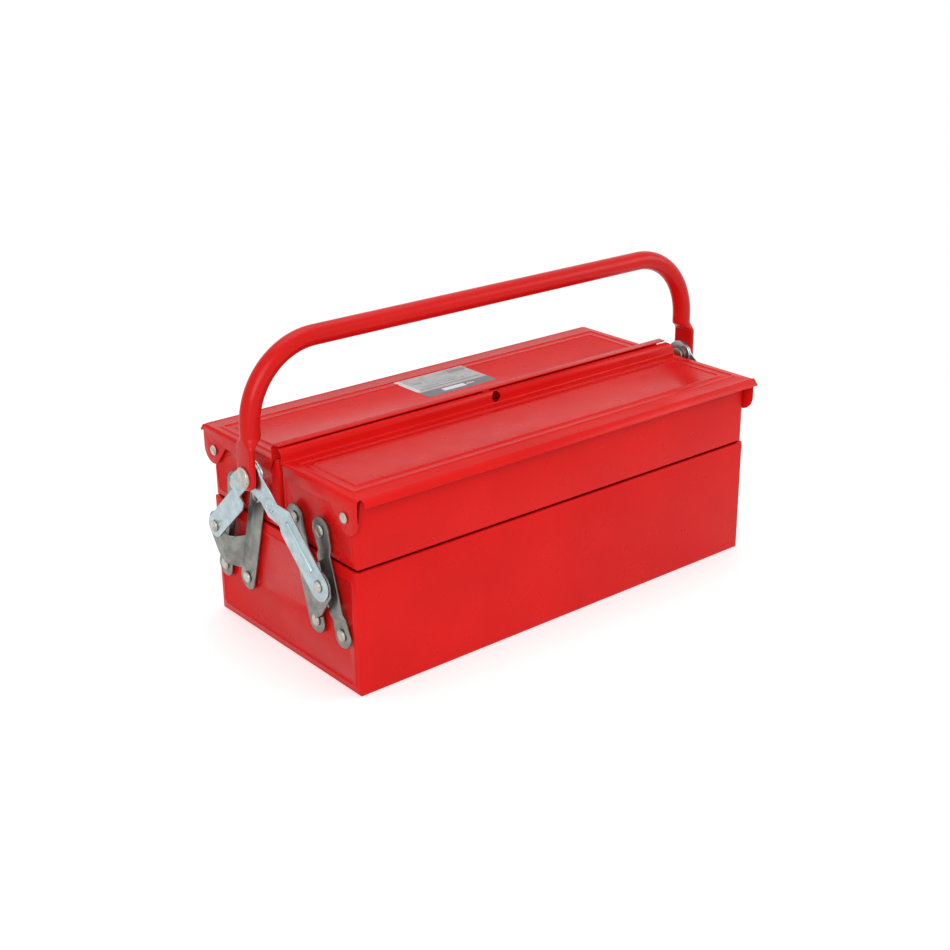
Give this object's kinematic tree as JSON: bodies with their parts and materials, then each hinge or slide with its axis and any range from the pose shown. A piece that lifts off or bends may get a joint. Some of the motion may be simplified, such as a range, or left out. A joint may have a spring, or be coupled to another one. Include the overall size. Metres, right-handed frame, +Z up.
{
  "type": "cantilever tool box",
  "caption": "Pressed steel tool box with two lidded trays that swing apart on parallel links, drawn together by spreader arms on one bent-tube handle.",
  "frame": {"origin": "middle of the box's footprint, on the floor it rests on", "axes": "+X along the box to the right, -Y towards the front, +Z up"},
  "size_m": [0.4838, 0.222, 0.261],
  "materials": {
    "body_paint": "semi-gloss red paint",
    "tray_paint": "semi-gloss red paint",
    "lid_paint": "semi-gloss red paint",
    "handle_paint": "semi-gloss red paint",
    "link_steel": "dull zinc plate",
    "arm_zinc": "bright zinc plate",
    "rivet_steel": "satin nickel",
    "washer_steel": "dull zinc plate"
  },
  "bodies": {
    "base": {"base_pan": "body_paint", "base_rivets": "rivet_steel", "base_washers": "washer_steel"},
    "front_outer_link_pair": {"front_outer_links": "link_steel"},
    "front_inner_link_pair": {"front_inner_links": "link_steel"},
    "front_tray_body": {"front_tray": "tray_paint", "front_tray_rivets": "rivet_steel", "front_tray_washers": "washer_steel"},
    "front_lid_body": {"front_lid": "lid_paint", "front_lid_rivets": "rivet_steel", "front_lid_washers": "washer_steel"},
    "front_arm_pair": {"front_arms": "arm_zinc", "front_arm_rivets": "rivet_steel"},
    "back_outer_link_pair": {"back_outer_links": "link_steel"},
    "back_inner_link_pair": {"back_inner_links": "link_steel"},
    "back_tray_body": {"back_tray": "tray_paint", "back_tray_rivets": "rivet_steel", "back_tray_washers": "washer_steel"},
    "back_lid_body": {"back_lid": "lid_paint", "back_lid_rivets": "rivet_steel", "back_lid_washers": "washer_steel"},
    "back_arm_pair": {"back_arms": "arm_zinc", "back_arm_rivets": "rivet_steel"},
    "handle_pins": {"handle_rivets": "rivet_steel", "handle_washers": "washer_steel"},
    "handle_bail": {"handle": "handle_paint"}
  },
  "joints": [
    {"name": "front_tray_fold", "type": "hinge", "parent": "base", "child": "front_inner_link_pair", "pos_m": [0, -0.0492, 0.047], "axis": [1, 0, 0], "range_deg": [0, 32.5]},
    {"name": "front_outer_link_turn", "type": "hinge", "parent": "base", "child": "front_outer_link_pair", "pos_m": [0, -0.0832, 0.047], "axis": [1, 0, 0], "range_deg": [0, 33]},
    {"name": "front_tray_level", "type": "hinge", "parent": "front_inner_link_pair", "child": "front_tray_body", "pos_m": [0, -0.02619, 0.12466], "axis": [1, 0, 0], "range_deg": [-33, 0]},
    {"name": "front_lid_hinge", "type": "hinge", "parent": "front_tray_body", "child": "front_lid_body", "pos_m": [0, -0.0905, 0.1444], "axis": [1, 0, 0], "range_deg": [0, 90]},
    {"name": "front_arm_turn", "type": "hinge", "parent": "front_inner_link_pair", "child": "front_arm_pair", "pos_m": [0, -0.07342, 0.08776], "axis": [1, 0, 0], "range_deg": [-53, 0]},
    {"name": "back_inner_link_turn", "type": "hinge", "parent": "base", "child": "back_inner_link_pair", "pos_m": [0, 0.0492, 0.047], "axis": [-1, 0, 0], "range_deg": [0, 33]},
    {"name": "back_outer_link_turn", "type": "hinge", "parent": "base", "child": "back_outer_link_pair", "pos_m": [0, 0.0832, 0.047], "axis": [-1, 0, 0], "range_deg": [0, 33]},
    {"name": "back_tray_level", "type": "hinge", "parent": "back_inner_link_pair", "child": "back_tray_body", "pos_m": [0, 0.02619, 0.12466], "axis": [-1, 0, 0], "range_deg": [-33, 0]},
    {"name": "back_lid_hinge", "type": "hinge", "parent": "back_tray_body", "child": "back_lid_body", "pos_m": [0, 0.0905, 0.1444], "axis": [-1, 0, 0], "range_deg": [0, 90]},
    {"name": "back_arm_turn", "type": "hinge", "parent": "back_inner_link_pair", "child": "back_arm_pair", "pos_m": [0, 0.07342, 0.08776], "axis": [-1, 0, 0], "range_deg": [-53, 0]},
    {"name": "handle_pin_turn", "type": "hinge", "parent": "front_arm_pair", "child": "handle_pins", "pos_m": [0, 0, 0.155], "axis": [1, 0, 0], "range_deg": [0, 20]},
    {"name": "handle_swing", "type": "hinge", "parent": "handle_pins", "child": "handle_bail", "pos_m": [0, 0, 0.155], "axis": [1, 0, 0], "range_deg": [-22, 22]}
  ],
  "couplings": [
    {"joint": "front_outer_link_turn", "follows": "front_tray_fold", "ratio": 1},
    {"joint": "front_tray_level", "follows": "front_tray_fold", "ratio": -1},
    {"joint": "front_arm_turn", "follows": "front_tray_fold", "ratio": -1.5995},
    {"joint": "back_inner_link_turn", "follows": "front_tray_fold", "ratio": 1},
    {"joint": "back_outer_link_turn", "follows": "front_tray_fold", "ratio": 1},
    {"joint": "back_tray_level", "follows": "front_tray_fold", "ratio": -1},
    {"joint": "back_arm_turn", "follows": "front_tray_fold", "ratio": -1.5995},
    {"joint": "handle_pin_turn", "follows": "front_tray_fold", "ratio": 0.5995}
  ]
}
